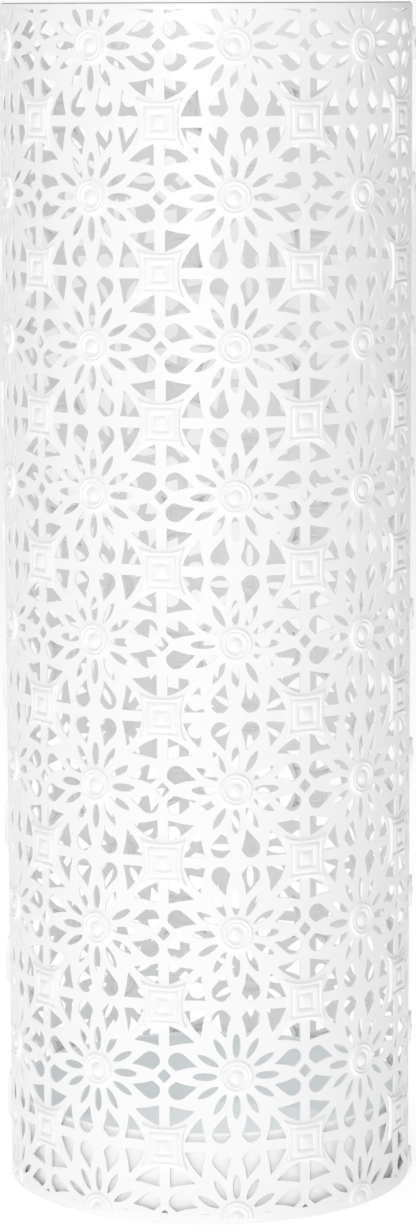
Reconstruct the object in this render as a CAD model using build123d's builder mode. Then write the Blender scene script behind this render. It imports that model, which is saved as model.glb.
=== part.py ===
# Umbrella stand: a tall pierced steel cylinder with a lift-out drip tray.
# Millimetres, +Z up. The origin is on the floor at the centre of the stand, front towards -Y.
# The sheet is left smooth between its openings, without the rings and squares pressed into it.
from build123d import *
import math
import os

os.makedirs("parts", exist_ok=True)

# Sheet
STAND_R = 82.5        # outside radius of the rolled sheet
SHEET_H = 479.6       # height of the rolled sheet
SHEET_T = 0.8
EDGE_Z = 1.0          # the pads hold the sheet's bottom edge this far off the floor
PUNCH = 2.0           # reach of the piercing either side of the sheet's surface

# Pattern
COLUMNS = 9           # columns of tiles round the stand
ROWS = 9              # rows of medallions up the stand
FIRST_ROW = 15.2      # from the top edge down to the first row of medallions
TOP_BORDER = 2.8      # plain strip above the piercing
BOTTOM_BORDER = 4.4   # plain strip below the piercing

# Hoops, base and feet
HOOP_T = 1.2          # radial thickness of the hoop welded inside each edge
HOOP_H = 2.4
HOOP_LIP = 0.4        # the top hoop stands this far above the sheet's top edge
BASE_R = 81.2
BASE_T = 0.8
WELL_R = 58.0         # the middle of the base disc is pressed down inside this radius
WELL_DEPTH = 1.2
PAD_R = 7.0
PAD_RING_R = 68.0
PADS = 4

# Drip tray
TRAY_R = 79.7         # outside radius
TRAY_RIM = 36.7       # rim above the sheet's bottom edge
TRAY_T = 1.0
TRAY_CORNER = 3.0     # rounding between the tray's wall and floor
TRAY_BEAD = 0.9       # radius of the bead round the rim

PITCH = 2 * math.pi * STAND_R / COLUMNS
COLUMN_DEG = 360 / COLUMNS
TOP_Z = EDGE_Z + SHEET_H
FIELD_LOW = EDGE_Z + BOTTOM_BORDER
FIELD_HIGH = TOP_Z - TOP_BORDER
ROW_Z = [TOP_Z - FIRST_ROW - PITCH * row for row in range(ROWS)]
BASE_Z = EDGE_Z + HOOP_H
TRAY_Z = BASE_Z + BASE_T

# Outlines of a tile's openings, in pitches from the middle of its medallion
WINDOW = [(-0.16, 0.43), (0.16, 0.43), (0.075, 0.27), (-0.075, 0.27)]
KITE = [(0.24, 0.30), (0.35, 0.50), (0.24, 0.70), (0.205, 0.50)]


def tile_openings():
    """Four windows round the medallion and the kites beside the embossed squares."""
    return [
        WINDOW,
        [(x, -y) for x, y in WINDOW],
        [(y, x) for x, y in WINDOW],
        [(-y, x) for x, y in WINDOW],
        KITE,
        [(-x, y) for x, y in KITE],
        [(y, x) for x, y in KITE],
        [(y, -x) for x, y in KITE],
    ]


def sheet_plane(across, z):
    """Plane touching the sheet, across pitches round from the front, at height z."""
    turn = math.radians(COLUMN_DEG * across - 90)
    out = (math.cos(turn), math.sin(turn), 0)
    return Plane((STAND_R * out[0], STAND_R * out[1], z), (-out[1], out[0], 0), out)


# The sheet, rolled into a cylinder and pierced square to its surface.
with BuildPart() as lattice_sheet:
    with BuildSketch(Plane.XY.offset(EDGE_Z)):
        Circle(STAND_R)
        Circle(STAND_R - SHEET_T, mode=Mode.SUBTRACT)
    extrude(amount=SHEET_H)
    for column in range(COLUMNS):
        for row_z in ROW_Z:
            for outline in tile_openings():
                across = sum(x for x, y in outline) / len(outline)
                up = sum(y for x, y in outline) / len(outline)
                z = row_z + up * PITCH
                low = row_z + min(y for x, y in outline) * PITCH
                high = row_z + max(y for x, y in outline) * PITCH
                if high < FIELD_LOW + 0.3 or low > FIELD_HIGH - 0.3:
                    continue
                corners = [((x - across) * PITCH, (y - up) * PITCH) for x, y in outline]
                with BuildSketch(sheet_plane(column + across, z)):
                    with BuildLine():
                        Polyline(corners, close=True)
                    make_face()
                    if low < FIELD_LOW or high > FIELD_HIGH:
                        with Locations((0, (FIELD_LOW + FIELD_HIGH) / 2 - z)):
                            Rectangle(PITCH, FIELD_HIGH - FIELD_LOW, mode=Mode.INTERSECT)
    extrude(amount=PUNCH, both=True, mode=Mode.SUBTRACT)

# Flat hoops welded inside the top and bottom edges. The top one is a bare edge above the sheet.
with BuildPart() as top_hoop:
    with BuildSketch(Plane.XY.offset(TOP_Z + HOOP_LIP - HOOP_H)):
        Circle(STAND_R - SHEET_T)
        Circle(STAND_R - SHEET_T - HOOP_T, mode=Mode.SUBTRACT)
    extrude(amount=HOOP_H)

with BuildPart() as bottom_hoop:
    with BuildSketch(Plane.XY.offset(EDGE_Z)):
        Circle(STAND_R - SHEET_T)
        Circle(STAND_R - SHEET_T - HOOP_T, mode=Mode.SUBTRACT)
    extrude(amount=HOOP_H)

# Base disc welded on the bottom hoop, its middle pressed down for stiffness.
with BuildPart() as base_disc:
    with BuildSketch(Plane.XZ):
        with BuildLine():
            Polyline(
                (0, BASE_Z - WELL_DEPTH),
                (WELL_R, BASE_Z - WELL_DEPTH),
                (WELL_R + 2, BASE_Z),
                (BASE_R, BASE_Z),
                (BASE_R, BASE_Z + BASE_T),
                (WELL_R + 1.4, BASE_Z + BASE_T),
                (WELL_R - 0.6, BASE_Z + BASE_T - WELL_DEPTH),
                (0, BASE_Z + BASE_T - WELL_DEPTH),
                close=True,
            )
        make_face()
    revolve(axis=Axis.Z)

# Loose drip tray: a straight cup with a rounded bottom corner and a bead round its rim.
with BuildPart() as drip_tray:
    with BuildSketch(Plane.XY.offset(TRAY_Z)):
        Circle(TRAY_R)
    extrude(amount=EDGE_Z + TRAY_RIM - TRAY_Z)
    fillet(drip_tray.edges().group_by(Axis.Z)[0], TRAY_CORNER)
    offset(amount=-TRAY_T, openings=drip_tray.faces().sort_by(Axis.Z)[-1])
    with BuildSketch(Plane.XZ):
        with Locations((TRAY_R - TRAY_T / 2, EDGE_Z + TRAY_RIM - TRAY_BEAD)):
            Circle(TRAY_BEAD)
    revolve(axis=Axis.Z)

lattice_sheet.part.label = "lattice_sheet"
export_step(lattice_sheet.part, "parts/lattice_sheet.step")
top_hoop.part.label = "top_hoop"
export_step(top_hoop.part, "parts/top_hoop.step")
bottom_hoop.part.label = "bottom_hoop"
export_step(bottom_hoop.part, "parts/bottom_hoop.step")
base_disc.part.label = "base_disc"
export_step(base_disc.part, "parts/base_disc.step")
drip_tray.part.label = "drip_tray"
export_step(drip_tray.part, "parts/drip_tray.step")

# Soft pads under the base disc, which carry the stand.
for number in range(PADS):
    turn = math.radians(45 + 360 / PADS * number)
    with BuildPart() as foot_pad:
        with BuildSketch(Plane.XY):
            with Locations((PAD_RING_R * math.cos(turn), PAD_RING_R * math.sin(turn))):
                Circle(PAD_R)
        extrude(amount=BASE_Z)
        chamfer(foot_pad.edges().group_by(Axis.Z)[0], 0.6)
    foot_pad.part.label = f"foot_pad_{number + 1}"
    export_step(foot_pad.part, f"parts/foot_pad_{number + 1}.step")
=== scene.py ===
# %% [markdown]
# # A pierced steel umbrella stand
# The stand is one steel sheet, pierced and embossed while flat, rolled into a tall cylinder and
# powder coated white. A loose tray at the bottom catches the drips. This lesson rebuilds the
# sheet from the flat pattern up, the way the maker does: draw one tile, punch it, emboss it,
# repeat it nine by nine, then roll the result.

# %% Load the measured parts
import math

import bmesh
import bpy
from mathutils import Matrix, Vector


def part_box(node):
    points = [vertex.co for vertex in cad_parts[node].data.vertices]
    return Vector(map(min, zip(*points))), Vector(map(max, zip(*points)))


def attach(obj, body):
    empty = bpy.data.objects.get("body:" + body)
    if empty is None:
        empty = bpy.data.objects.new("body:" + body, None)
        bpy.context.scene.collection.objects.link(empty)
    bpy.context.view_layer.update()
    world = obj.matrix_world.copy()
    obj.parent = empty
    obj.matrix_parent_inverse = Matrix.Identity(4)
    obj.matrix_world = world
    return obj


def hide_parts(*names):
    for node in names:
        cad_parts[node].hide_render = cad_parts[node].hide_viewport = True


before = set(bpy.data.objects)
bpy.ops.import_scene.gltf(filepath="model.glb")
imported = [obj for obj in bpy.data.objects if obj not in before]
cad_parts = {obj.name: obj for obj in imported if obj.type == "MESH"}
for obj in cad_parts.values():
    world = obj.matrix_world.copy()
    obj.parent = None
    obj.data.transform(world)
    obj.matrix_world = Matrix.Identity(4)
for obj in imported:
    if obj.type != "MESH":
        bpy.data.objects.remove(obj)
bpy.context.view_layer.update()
scene = bpy.context.scene
print("parts:", sorted(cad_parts))

# %% [markdown]
# ## Sizes
# Everything is in metres, with +Z up and the floor at zero. The rolled sheet's own box gives its
# bottom edge and its top edge, and the hoop inside the rim gives the very top. Nine tiles go
# round the sheet, so the pitch of the pattern is a ninth of the way round, and the same pitch is
# used up the height. The pattern stops short of both edges, at the field's top and bottom.

# %% The sheet's main sizes
low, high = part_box("lattice_sheet")
SHEET_RADIUS = 0.0825
SHEET_THICK = 0.0008
EDGE_BOTTOM = low[2]
EDGE_TOP = high[2]
RIM_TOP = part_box("top_hoop")[1][2]
COLUMNS = 9
ROWS = 9
PITCH = 2 * math.pi * SHEET_RADIUS / COLUMNS
FIRST_ROW = EDGE_TOP - 0.0159
FIELD_TOP = EDGE_TOP - 0.0022
FIELD_BOTTOM = EDGE_BOTTOM + 0.0044
print("pitch %.2f mm" % (PITCH * 1e3))
print("sheet from %.1f to %.1f mm" % (EDGE_BOTTOM * 1e3, EDGE_TOP * 1e3))

# %% [markdown]
# ## Camera
# A long lens from a little over a metre and a half away keeps the cylinder's sides almost
# straight. The camera stands level with the rim and looks down a little, and it stands slightly
# to one side, so that the front column of medallions sits just off the middle.

# %% Place the camera
camera_data = bpy.data.cameras.new("camera")
camera = bpy.data.objects.new("camera", camera_data)
scene.collection.objects.link(camera)
scene.camera = camera
camera_data.sensor_fit = "VERTICAL"
camera_data.sensor_height = 36
camera_data.lens = 117.1
camera_data.clip_end = 50

AROUND = math.radians(-7.4)
DOWN = 0.152
ROLL = 0.0036
STAND_OFF = 1.616
ahead = Vector((-math.sin(AROUND), math.cos(AROUND), 0))
forward = ahead * math.cos(DOWN) - Vector((0, 0, math.sin(DOWN)))
level = Vector((math.cos(AROUND), math.sin(AROUND), 0))
upright = level.cross(forward)
right = level - ROLL * upright
up = upright + ROLL * level
turn = Matrix((right, up, -forward)).transposed().to_4x4()
camera.matrix_world = Matrix.Translation(Vector((0, 0, RIM_TOP)) - ahead * STAND_OFF) @ turn
print("camera at", [round(x, 3) for x in camera.location])

# %% [markdown]
# ## Shader arithmetic
# A material is a network of nodes. This small class holds one output of the network, so that
# masks can be added and multiplied like numbers, and its one method adds any other node.

# %% A wrapper for node outputs
class Signal:
    def __init__(self, tree, socket=None):
        self.tree = tree
        self.socket = socket

    def node(self, kind, settings=None, inputs=None, output=0):
        new = self.tree.nodes.new("ShaderNode" + kind)
        for name, value in (settings or {}).items():
            if name == "stops":
                ramp = new.color_ramp.elements
                for number, (place, colour) in enumerate(value):
                    stop = ramp[number] if number < 2 else ramp.new(place)
                    stop.position = place
                    stop.color = colour
            else:
                setattr(new, name, value)
        for name, value in (inputs or {}).items():
            if isinstance(value, Signal):
                self.tree.links.new(value.socket, new.inputs[name])
            else:
                new.inputs[name].default_value = value
        return Signal(self.tree, new.outputs[output] if new.outputs else None)

    def maths(self, operation, first, second):
        return self.node("Math", {"operation": operation}, {0: first, 1: second})

    def __add__(self, other):
        return self.maths("ADD", self, other)

    def __mul__(self, other):
        return self.maths("MULTIPLY", self, other)

    def __rsub__(self, other):
        return self.maths("SUBTRACT", other, self)

    __radd__ = __add__
    __rmul__ = __mul__


def new_finish(name):
    finish = bpy.data.materials.new(name)
    finish.use_nodes = True
    finish.node_tree.nodes.clear()
    return finish, Signal(finish.node_tree)


def output_finish(start, shader):
    start.node("OutputMaterial", None, {"Surface": shader})


print("signals ready")

# %% [markdown]
# ## Powder coat
# White powder is melted on to the steel. It flows into a skin with a soft sheen, a very fine
# ripple like orange peel, and a faint warm or cool drift where it lies thicker. Noise on object
# coordinates gives all three at their real scale.

# %% White powder coat
def powder_coat(name, bright, dull, rough):
    finish, start = new_finish(name)
    place = start.node("TexCoord", output=3)
    drift = start.node("TexNoise", None, {"Vector": place, "Scale": 14.0, "Detail": 3.0})
    ripple = start.node("TexNoise", None, {"Vector": place, "Scale": 900.0, "Detail": 2.0})
    specks = start.node("TexNoise", None, {"Vector": place, "Scale": 2600.0, "Detail": 1.0})
    colour = start.node("ValToRGB", {"stops": [(0.35, dull), (0.65, bright)]}, {"Fac": drift})
    height = ripple * 0.8 + specks * 0.2
    bump = start.node("Bump", None, {"Height": height, "Strength": 0.10, "Distance": 0.00006})
    shader = start.node("BsdfPrincipled", None, {
        "Base Color": colour, "Roughness": drift * 0.10 + rough, "Normal": bump,
        "Coat Weight": 0.15, "Coat Roughness": 0.3,
    })
    output_finish(start, shader)
    return finish


sheet_coat = powder_coat(
    "powder_coat_white", (0.930, 0.930, 0.928, 1), (0.915, 0.917, 0.918, 1), 0.34)
base_coat = powder_coat("powder_coat_base", (0.92, 0.92, 0.92, 1), (0.89, 0.895, 0.90, 1), 0.42)
print("coats:", sheet_coat.name, base_coat.name)

# %% [markdown]
# ## Tray plastic, pads and rim
# The tray is a moulded cup in a pale blue-grey plastic. Its inside is coloured darker than its
# outside:
# painted shade of the deep cup. Its inside keeps the fine grain of the mould and a little dullness
# where water has dried. The pads are a soft pale rubber, and the hoop inside the rim is coloured a
# dark warm grey, so that its lip shows as a thin dark line along the top edge. One function makes
# all three.

# %% Moulded plastic, rubber and bare steel
def moulded(name, bright, dull, rough, grain, outside=None, wall_middle=0):
    """A clouded finish. What lies further from the axis than wall_middle may be another colour; a
    darker inside is painted shade.
    """
    finish, start = new_finish(name)
    place = start.node("TexCoord", output=3)
    cloud = start.node("TexNoise", None, {"Vector": place, "Scale": 28.0, "Detail": 4.0})
    fine = start.node("TexNoise", None, {"Vector": place, "Scale": grain, "Detail": 2.0})
    colour = start.node("ValToRGB", {"stops": [(0.3, dull), (0.7, bright)]}, {"Fac": cloud})
    # The mask picks the outside of the wall; the inside keeps the darker colour as painted shade
    # of the recess.
    if outside:
        flat = start.node("VectorMath", {"operation": "MULTIPLY"}, {0: place, 1: (1, 1, 0)})
        reach = start.node("VectorMath", {"operation": "LENGTH"}, {0: flat}, output=1)
        unshaded_outside_mask = reach.maths("GREATER_THAN", reach, wall_middle)
        colour = start.node(
            "Mix", {"data_type": "RGBA"}, {0: unshaded_outside_mask, 6: colour, 7: outside}, output=2)
    bump = start.node("Bump", None, {"Height": fine, "Strength": 0.15, "Distance": 0.0001})
    shader = start.node("BsdfPrincipled", None, {
        "Base Color": colour, "Roughness": cloud * 0.18 + rough, "Normal": bump,
    })
    output_finish(start, shader)
    return finish


TRAY_WALL = 0.001
TRAY_BEAD_OUT = 0.0004
tray_wall_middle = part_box("drip_tray")[1][0] - TRAY_BEAD_OUT - TRAY_WALL / 2
# The tray's inside colours are darker than its outside colour: painted shade inside the cup.
tray_finish = moulded(
    "tray_plastic", (0.91, 0.945, 0.96, 1), (0.885, 0.925, 0.945, 1), 0.42, 1500.0,
    (0.975, 0.98, 0.985, 1), tray_wall_middle)
# The hoop is coloured a dark warm grey, so that its lip shows as a thin dark line along the top
# edge.
rim_finish = moulded("rim_steel", (0.17, 0.155, 0.142, 1), (0.11, 0.10, 0.092, 1), 0.35, 3000.0)
pad_finish = moulded("pad_rubber", (0.72, 0.72, 0.71, 1), (0.66, 0.66, 0.65, 1), 0.7, 2200.0)
print("finishes:", tray_finish.name, rim_finish.name, pad_finish.name)

# %% [markdown]
# ## From bmesh to object
# Every piece made here ends the same way: its faces are smooth except across real corners, and it
# rides on the stand.

# %% Finish a piece
def settle_shading(bm, corner_deg):
    sharpest = math.radians(corner_deg)
    for face in bm.faces:
        face.smooth = True
    for edge in bm.edges:
        edge.smooth = len(edge.link_faces) == 2 and edge.calc_face_angle(0) < sharpest


def make_piece(name, bm, finish, body, corner_deg=50):
    settle_shading(bm, corner_deg)
    mesh = bpy.data.meshes.new(name)
    bm.to_mesh(mesh)
    bm.free()
    piece = bpy.data.objects.new(name, mesh)
    scene.collection.objects.link(piece)
    mesh.materials.append(finish)
    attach(piece, body)
    triangles = sum(len(p.vertices) - 2 for p in mesh.polygons)
    print(name, triangles, "triangles")
    return piece


# %% [markdown]
# ## One tile of the pattern
# A tile is a square of one pitch with a medallion in the middle. Round the medallion twelve
# petal slots point outwards, eight drops and eight triangles follow, and diamonds sit on the
# sides. Each hole is drawn as a closed loop of points in pitches, with its sharp corners eased
# as a punch leaves them.

# %% Outlines of the holes
def eased(corners, cut):
    """Replaces each corner by three points, so that the punch has no razor-sharp edge."""
    loop = []
    for number, corner in enumerate(corners):
        here = Vector(corner)
        before = (Vector(corners[number - 1]) - here)
        after = (Vector(corners[(number + 1) % len(corners)]) - here)
        start = here + before.normalized() * min(cut, before.length * 0.4)
        end = here + after.normalized() * min(cut, after.length * 0.4)
        loop += [start, (start + end) / 4 + here / 2, end]
    return loop


def turned(loop, degrees):
    spin = Matrix.Rotation(math.radians(degrees), 2)
    return [spin @ Vector(point) for point in loop]


PETAL_STEPS = 14


def petal_loop(number):
    """One of the twelve petals. The four along the rows and columns are wider than the rest."""
    cardinal = number % 3 == 0
    inner, outer, width = (0.130, 0.303, 0.057) if cardinal else (0.140, 0.310, 0.050)
    middle, half = (inner + outer) / 2, (outer - inner) / 2
    loop = []
    for step in range(PETAL_STEPS):
        angle = 2 * math.pi * (step + 0.5) / PETAL_STEPS
        side = math.sin(angle)
        bulge = side * (abs(side) ** (0.0 if cardinal else 0.45))
        loop.append((middle + half * math.cos(angle), width / 2 * bulge))
    return turned(loop, 30 * number)


def drop_loop():
    belly = []
    for degrees in range(112, -41, -19):
        angle = math.radians(degrees)
        belly.append(Vector((0.103, 0.405)) + 0.066 * Vector((math.cos(angle), math.sin(angle))))
    tip = eased([(0.166, 0.368), (0.071, 0.268), (0.061, 0.35)], 0.008)[3:6]
    shoulder = eased([(0.061, 0.35), (0.036, 0.418), (0.078, 0.466)], 0.010)[3:6]
    return belly + tip + [Vector((0.060, 0.345))] + shoulder


def star_loop():
    tip = eased([(0.232, 0.373), (0.242, 0.284), (0.311, 0.366)], 0.008)[3:6]
    far = eased([(0.311, 0.366), (0.358, 0.463), (0.21, 0.463)], 0.007)[3:6]
    near = eased([(0.358, 0.463), (0.21, 0.463), (0.232, 0.373)], 0.007)[3:6]
    rise = [Vector((0.280, 0.325)), Vector((0.311, 0.366)), Vector((0.336, 0.413))]
    inside = [Vector((0.221, 0.418)), Vector((0.231, 0.373)), Vector((0.237, 0.328))]
    return tip + rise + far + near + inside


def eight_ways(loop):
    """The loop repeated by the tile's mirrors: four quadrants and both diagonals."""
    copies = []
    for sx in (1, -1):
        for sy in (1, -1):
            copies.append([Vector((sx * p[0], sy * p[1])) for p in loop])
            copies.append([Vector((sx * p[1], sy * p[0])) for p in loop])
    return copies


holes = [petal_loop(number) for number in range(12)]
holes += eight_ways(drop_loop()) + eight_ways(star_loop())
print(len(holes), "holes in a tile and two diamonds on its sides")

# %% [markdown]
# The embossed shapes share their outer outline with the sheet. The medallion's is a circle. The
# square's sides are drawn in a little between its corners, where it runs out into the four arms
# of the star.

# %% Outlines of the embossing
def circle_loop(radius, count=24):
    angles = [2 * math.pi * n / count for n in range(count)]
    return [Vector((radius * math.cos(a), radius * math.sin(a))) for a in angles]


SQUARE_STEPS = (-1, -0.62, -0.3, 0, 0.3, 0.62)


def square_loop(middle, corner):
    loop = []
    for quarter in range(4):
        side = [(middle + (corner - middle) * abs(t) ** 3, t * corner) for t in SQUARE_STEPS]
        loop += turned(side, 90 * quarter)
    return loop


MEDALLION_EDGE = 0.116
SQUARE_EDGE = (0.132, 0.165)
DIAMOND_HALF = 0.050

# %% [markdown]
# ## Punching the sheet
# The tile's outline and its holes are drawn as loose edges, and one fill turns the metal between
# them into faces. The outline steps round a quarter of an embossed square at each corner and
# half a diamond on two sides, so neighbouring tiles meet point to point.

# %% Fill one flat tile
def draw_loop(bm, loop):
    points = [bm.verts.new((p[0], p[1], 0)) for p in loop]
    return [bm.edges.new((points[n - 1], points[n])) for n in range(len(points))]


def tile_border():
    quarter = [p for p in square_loop(*SQUARE_EDGE) if p[0] < 1e-6 and p[1] < 1e-6]
    quarter.sort(key=lambda p: p[1] - p[0])
    corner = [Vector((0.5, 0.5)) + p for p in quarter]
    half = DIAMOND_HALF
    notch = [Vector(p) for p in ((0.5, -half), (0.488, -half * 0.82), (0.5 - half * 0.9, -0.006))]
    notch += [Vector((p[0], -p[1])) for p in reversed(notch)]
    border = []
    border += notch
    border += corner
    border += [Vector((-p[0], p[1])) for p in reversed(corner)]
    border += [Vector((-p[0], -p[1])) for p in notch]
    border += [Vector((-p[0], -p[1])) for p in corner]
    border += [Vector((p[0], -p[1])) for p in reversed(corner)]
    return border


bm = bmesh.new()
edges = draw_loop(bm, tile_border())
long_sides = [edge for edge in edges if edge.calc_length() > 0.5]
bmesh.ops.subdivide_edges(bm, edges=long_sides, cuts=17)
edges = bm.edges[:] + draw_loop(bm, circle_loop(MEDALLION_EDGE))
for hole in holes:
    edges += draw_loop(bm, hole)
bmesh.ops.triangle_fill(bm, use_beauty=True, use_dissolve=False, edges=edges)
tile_mesh = bpy.data.meshes.new("flat_tile")
bm.to_mesh(tile_mesh)
bm.free()
print("flat tile:", len(tile_mesh.vertices), "points,", len(tile_mesh.polygons), "faces")

# %% [markdown]
# ## Repeating and rolling
# The tile is copied nine by nine and its shared points are merged. The top and bottom rows are
# cut straight where the plain borders begin. Then the flat sheet is rolled: distance across
# becomes angle round the axis, and height stays height.

# %% Roll a flat mesh into the cylinder
def roll(bm):
    """Takes x and y in pitches and z as metres outwards, and wraps them round the axis."""
    for vert in bm.verts:
        angle = 2 * math.pi * vert.co.x / COLUMNS - math.pi / 2
        reach = SHEET_RADIUS + vert.co.z
        vert.co = (reach * math.cos(angle), reach * math.sin(angle), vert.co.y * PITCH + FIRST_ROW)


def repeat(bm, places):
    """Copies everything in the mesh to each place, and removes the first one."""
    first = bm.verts[:] + bm.edges[:] + bm.faces[:]
    for across, up_by in places:
        copy = bmesh.ops.duplicate(bm, geom=first)["geom"]
        verts = [v for v in copy if isinstance(v, bmesh.types.BMVert)]
        bmesh.ops.translate(bm, verts=verts, vec=(across, up_by, 0))
    waste = [v for v in first if isinstance(v, bmesh.types.BMVert)]
    bmesh.ops.delete(bm, geom=waste, context="VERTS")


def trim(bm, height, keep_below):
    """Cuts the flat sheet straight across at a height in metres, and drops the waste."""
    cut = (height - FIRST_ROW) / PITCH
    bmesh.ops.bisect_plane(
        bm, geom=bm.verts[:] + bm.edges[:] + bm.faces[:], dist=1e-7,
        plane_co=(0, cut, 0), plane_no=(0, 1 if keep_below else -1, 0), clear_outer=True,
    )


def face_outwards(bm):
    for face in bm.faces:
        if face.calc_center_median().to_2d().dot(face.normal.to_2d()) < 0:
            face.normal_flip()


print("rolling helpers ready")

# %% The pierced sheet
bm = bmesh.new()
bm.from_mesh(tile_mesh)
repeat(bm, [(column, -row) for column in range(COLUMNS) for row in range(ROWS)])
bmesh.ops.remove_doubles(bm, verts=bm.verts[:], dist=1e-4)
trim(bm, FIELD_TOP, True)
trim(bm, FIELD_BOTTOM, False)
roll(bm)
bmesh.ops.remove_doubles(bm, verts=bm.verts[:], dist=1e-6)
bmesh.ops.recalc_face_normals(bm, faces=bm.faces[:])
face_outwards(bm)
rim_count = sum(len(e.link_faces) == 1 for e in bm.edges)
bmesh.ops.solidify(bm, geom=bm.faces[:], thickness=SHEET_THICK)
open_count = sum(len(e.link_faces) != 2 for e in bm.edges)
print("open edges before thickness:", rim_count, " after:", open_count)
radii = [v.co.to_2d().length for v in bm.verts]
print("radius %.2f to %.2f mm" % (min(radii) * 1e3, max(radii) * 1e3))
pierced = make_piece("pierced_sheet", bm, sheet_coat, "stand")

# %% [markdown]
# ## Embossing
# A press pushes the metal out into rings and ridges between the holes. Each shape starts as its
# flat outline, and every step extrudes that face a little, draws it in and lifts it. The same
# steps make the medallion and the square, each from a short table of rings, in pitches across
# and in press depths up. The lowest medallions are cut where the plain foot begins.

# %% Press a shape from its outline
def press(bm, outline, rings):
    """rings gives, for each step, the new outline and its height in metres."""
    verts = [bm.verts.new((p[0], p[1], 0)) for p in outline]
    face = bm.faces.new(verts)
    for loop, height in rings:
        made = bmesh.ops.extrude_discrete_faces(bm, faces=[face])["faces"]
        face = made[0]
        for vert, point in zip(face.verts, loop):
            vert.co = (point[0], point[1], height)
    crown = bmesh.ops.poke(bm, faces=[face])["verts"]
    return crown[0]


PRESS_DEPTH = 0.00088
FOOT_STRIP = 0.0024
MEDALLION_RINGS = (
    (0.1145, 0.45), (0.1115, 1.05), (0.107, 1.35), (0.101, 1.40), (0.095, 1.10), (0.089, 0.75),
    (0.084, 1.00), (0.078, 1.25), (0.071, 1.05), (0.062, 0.45), (0.053, 0.15), (0.047, 0.35),
    (0.040, 0.95), (0.029, 1.45), (0.015, 1.70),
)
bm = bmesh.new()
rings = [(circle_loop(radius), height * PRESS_DEPTH) for radius, height in MEDALLION_RINGS]
crown = press(bm, circle_loop(MEDALLION_EDGE), rings)
crown.co.z = 1.78 * PRESS_DEPTH
repeat(bm, [(column, -row) for column in range(COLUMNS) for row in range(ROWS)])
trim(bm, EDGE_BOTTOM + FOOT_STRIP, False)
roll(bm)
bmesh.ops.recalc_face_normals(bm, faces=bm.faces[:])
face_outwards(bm)
bmesh.ops.solidify(bm, geom=bm.faces[:], thickness=SHEET_THICK)
medallions = make_piece("embossed_medallions", bm, sheet_coat, "stand", 75)

# %% The embossed squares
SQUARE_RINGS = (
    (0.1300, 0.1615, 0.50), (0.1270, 0.1560, 1.05), (0.1225, 0.1470, 1.40), (0.116, 0.131, 1.40),
    (0.110, 0.114, 1.00), (0.106, 0.106, 0.70), (0.101, 0.101, 0.95), (0.094, 0.094, 1.45),
    (0.084, 0.084, 1.60), (0.068, 0.068, 1.60), (0.061, 0.061, 1.30), (0.054, 0.054, 0.75),
    (0.047, 0.047, 0.90), (0.039, 0.037, 1.45), (0.022, 0.020, 1.75),
)
bm = bmesh.new()
rings = [(square_loop(m, corner), height * PRESS_DEPTH) for m, corner, height in SQUARE_RINGS]
crown = press(bm, square_loop(*SQUARE_EDGE), rings)
crown.co.z = 1.85 * PRESS_DEPTH
places = [(column + 0.5, -row - 0.5) for column in range(COLUMNS) for row in range(ROWS - 1)]
repeat(bm, places)
roll(bm)
bmesh.ops.recalc_face_normals(bm, faces=bm.faces[:])
face_outwards(bm)
bmesh.ops.solidify(bm, geom=bm.faces[:], thickness=SHEET_THICK)
squares = make_piece("embossed_squares", bm, sheet_coat, "stand", 75)

# %% [markdown]
# ## Plain borders
# Above and below the pattern the sheet stays plain. Each border is a short band whose free edge
# is rounded by the coating. A profile of the band is spun once round the axis.

# %% Spin the borders
def spin_profile(name, profile, finish, body, steps=216, corner_deg=50):
    """Spins a closed profile of (radius, height) points round the stand's axis."""
    bm = bmesh.new()
    edges = draw_loop(bm, profile)
    for vert in bm.verts:
        vert.co = (vert.co.x, 0, vert.co.y)
    bmesh.ops.spin(
        bm, geom=bm.verts[:] + edges, cent=(0, 0, 0), axis=(0, 0, 1),
        angle=2 * math.pi, steps=steps, use_merge=True,
    )
    bmesh.ops.remove_doubles(bm, verts=bm.verts[:], dist=1e-7)
    bmesh.ops.recalc_face_normals(bm, faces=bm.faces[:])
    return make_piece(name, bm, finish, body, corner_deg)


INNER = SHEET_RADIUS - SHEET_THICK
EASE = 0.00025


def border_profile(z_field, z_edge):
    away = EASE if z_edge > z_field else -EASE
    return [
        (INNER, z_field), (SHEET_RADIUS, z_field), (SHEET_RADIUS, z_edge - away),
        (SHEET_RADIUS - EASE * 0.3, z_edge - away * 0.3), (SHEET_RADIUS - EASE, z_edge),
        (INNER, z_edge),
    ]


top_border = spin_profile(
    "top_border", border_profile(FIELD_TOP, EDGE_TOP), sheet_coat, "stand")
bottom_border = spin_profile(
    "bottom_border", border_profile(FIELD_BOTTOM, EDGE_BOTTOM), sheet_coat, "stand")
for piece in (pierced, medallions, squares, top_border, bottom_border):
    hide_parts("lattice_sheet")

# %% [markdown]
# ## Finishes on the measured parts
# The hoops, the base disc, the tray and the pads keep their measured shapes and only need their
# coats.

# %% Coat the measured parts
def coat(node, finish):
    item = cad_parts[node]
    for slot in item.material_slots:
        slot.material = finish
    if not item.material_slots:
        item.data.materials.append(finish)


for node, finish in (
    ("top_hoop", rim_finish), ("bottom_hoop", sheet_coat),
    ("base_disc", base_coat), ("drip_tray", tray_finish),
):
    coat(node, finish)
pads = [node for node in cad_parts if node.startswith("foot_pad")]
for node in pads:
    coat(node, pad_finish)
print("coated", len(pads), "pads, the hoops, the base and the tray")

# %% [markdown]
# ## Floor and light
# A white studio: a pale floor, a backdrop of the same paper far behind, and a white sky that is
# dimmer at the sides, most of all on the right, so that the cylinder looks round. A large soft
# light overhead fills the inside of the stand, and a smaller one in front, a little to the left,
# models the embossing.

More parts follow.
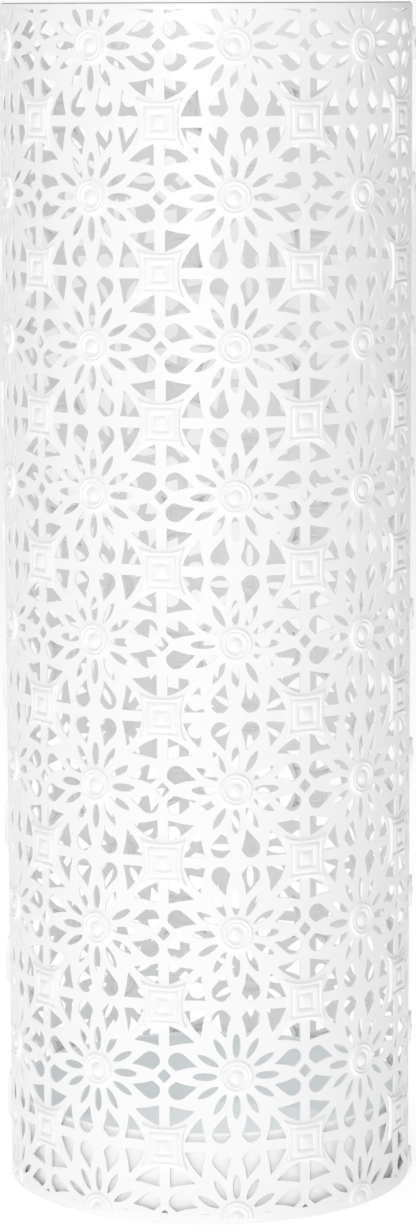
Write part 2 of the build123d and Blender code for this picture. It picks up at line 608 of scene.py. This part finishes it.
# %% Studio
paper, start = new_finish("studio_paper")
output_finish(start, start.node("BsdfPrincipled", None, {
    "Base Color": (0.95, 0.95, 0.95, 1), "Roughness": 0.9,
    "Emission Color": (1, 1, 1, 1), "Emission Strength": 0.36,
}))


def studio_sheet(name, size, place):
    bm = bmesh.new()
    bmesh.ops.create_grid(bm, x_segments=1, y_segments=1, size=size)
    mesh = bpy.data.meshes.new(name)
    bm.to_mesh(mesh)
    bm.free()
    mesh.materials.append(paper)
    sheet = bpy.data.objects.new(name, mesh)
    scene.collection.objects.link(sheet)
    sheet.matrix_world = place


studio_sheet("floor", 30, Matrix.Identity(4))
studio_sheet(
    "backdrop", 6, Matrix.Translation((0, 12, 0)) @ Matrix.Rotation(math.pi / 2, 4, "X"))

world = bpy.data.worlds.new("white_sky")
scene.world = world
world.use_nodes = True
world.node_tree.nodes.clear()
sky = Signal(world.node_tree)
across = sky.node("SeparateXYZ", None, {"Vector": sky.node("TexCoord")})
glow = sky.node("ValToRGB", {"stops": [
    (0.0, (0.24, 0.24, 0.24, 1)), (0.38, (0.42, 0.42, 0.42, 1)), (0.58, (0.40, 0.40, 0.40, 1)),
    (0.85, (0.07, 0.07, 0.07, 1)),
]}, {"Fac": across * 0.5 + 0.5})
sky_shader = sky.node("Background", None, {"Color": glow, "Strength": 1.0})
sky.node("OutputWorld", None, {"Surface": sky_shader})


def soft_light(name, place, target, size, power):
    data = bpy.data.lights.new(name, "AREA")
    data.shape = "DISK"
    data.size = size
    data.energy = power
    lamp = bpy.data.objects.new(name, data)
    scene.collection.objects.link(lamp)
    aim = (Vector(target) - Vector(place)).to_track_quat("-Z", "Y")
    lamp.matrix_world = Matrix.Translation(place) @ aim.to_matrix().to_4x4()


soft_light("overhead", (0, 0, 3.0), (0, 0, 0), 1.0, 33)
soft_light("key_front", (-0.75, -2.7, 0.9), (0, 0, 0.25), 0.7, 25)
scene.view_settings.view_transform = "Standard"
scene.view_settings.gamma = 1.4
print("studio ready")
